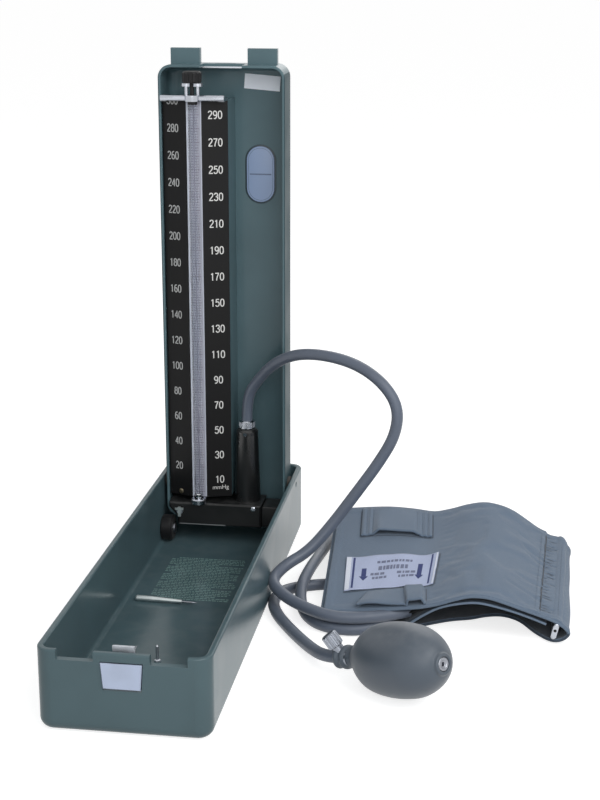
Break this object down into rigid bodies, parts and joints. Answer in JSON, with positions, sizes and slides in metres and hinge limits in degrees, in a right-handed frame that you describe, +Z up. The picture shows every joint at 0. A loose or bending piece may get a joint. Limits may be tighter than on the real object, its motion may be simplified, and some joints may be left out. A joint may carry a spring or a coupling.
{
  "type": "mercury sphygmomanometer",
  "caption": "Desk blood-pressure gauge: a grey metal tray with a hinged lid that stands open and holds a glass mercury column, with a cloth cuff, rubber hoses and a hand bulb",
  "frame": {"origin": "centre of the tray's flat bottom face, which stands on the table", "axes": "+X to the right across the tray, +Y back along the tray towards the lid's hinge, +Z up"},
  "size_m": [0.3095, 0.3578, 0.3679],
  "materials": {
    "case_paint": "satin grey-green enamel",
    "bright_steel": "bright zinc",
    "fibre": "matte fibre",
    "black_rubber": "matte",
    "button_plate": "satin plate",
    "scale_black": "satin black",
    "scale_strip": "matte",
    "clear_glass": "clear",
    "mercury": "mirror bright",
    "plated": "polished plate",
    "brass_screw": "dull",
    "satin_aluminium": "satin",
    "black_enamel": "gloss black enamel",
    "black_moulding": "satin black moulding",
    "pale_plate": "matte",
    "bulb_rubber": "smooth satin",
    "valve_ball": "polished",
    "hose_rubber": "smooth satin",
    "cuff_cloth": "woven cloth"
  },
  "bodies": {
    "base": {"base_tray": "case_paint", "hinge_pins": "bright_steel", "stop_studs": "bright_steel", "latch_bracket": "bright_steel", "latch_pin": "bright_steel", "latch_spring": "bright_steel", "tray_post": "bright_steel", "cleaning_needle": "bright_steel", "hinge_washers": "fibre", "stop_buffers": "black_rubber", "cuff_bladder": "black_rubber", "end_valve": "plated", "release_valve": "plated", "cuff_ring": "plated", "needle_handle": "satin_aluminium", "cuff_label": "pale_plate", "bulb_rubber": "bulb_rubber", "valve_ball": "valve_ball", "hose_gauge": "hose_rubber", "hose_bulb": "hose_rubber", "cuff_wrap": "cuff_cloth", "cuff_lining": "cuff_cloth", "cuff_strap": "cuff_cloth", "cuff_flap": "cuff_cloth", "cuff_tail": "cuff_cloth"},
    "lid": {"lid_shell": "case_paint", "scale_channel": "case_paint", "strike_plate": "bright_steel", "reservoir_filter": "fibre", "tube_lower_seal": "black_rubber", "tube_upper_seal": "black_rubber", "scale_plate": "scale_black", "graduated_strip": "scale_strip", "glass_tube": "clear_glass", "tube_mercury": "mercury", "reservoir_mercury": "mercury", "manifold_block": "black_moulding", "tube_seat": "plated", "yoke_bar": "plated", "yoke_posts": "plated", "manifold_screw": "plated", "reservoir_shoulder": "plated", "hose_collar": "plated", "vent_screw": "plated", "scale_screw": "brass_screw", "reservoir_cup": "black_enamel", "badge_plate": "pale_plate", "blank_label": "pale_plate"},
    "latch": {"latch_button": "button_plate", "latch_hook": "bright_steel"},
    "cock": {"cock_plug": "plated", "cock_lever": "plated"},
    "cap": {"tube_cap_screw": "black_moulding"},
    "release": {"release_screw": "plated"}
  },
  "joints": [
    {"name": "lid_hinge", "type": "hinge", "parent": "base", "child": "lid", "pos_m": [0, 0.1436, 0.0465], "axis": [1, 0, 0], "range_deg": [0, 90], "deforming": ["hose_gauge"]},
    {"name": "latch_press", "type": "hinge", "parent": "base", "child": "latch", "pos_m": [0, -0.1711, 0.044], "axis": [1, 0, 0], "range_deg": [0, 7], "stiffness_Nm_per_rad": 0.2, "springref_deg": -11.46},
    {"name": "cock_turn", "type": "hinge", "parent": "lid", "child": "cock", "pos_m": [-0.0336, 0.1242, 0.02803], "axis": [0, 1, 0], "range_deg": [0, 90]},
    {"name": "cap_turn", "type": "hinge", "parent": "lid", "child": "cap", "pos_m": [-0.0192, 0.1255, 0.345], "axis": [0, 0, 1], "range_deg": [0, 720]},
    {"name": "release_turn", "type": "hinge", "parent": "base", "child": "release", "pos_m": [0.11679, -0.08195, 0.01367], "axis": [-0.6191, 0.0999, 0.7789], "range_deg": [0, 540]}
  ]
}
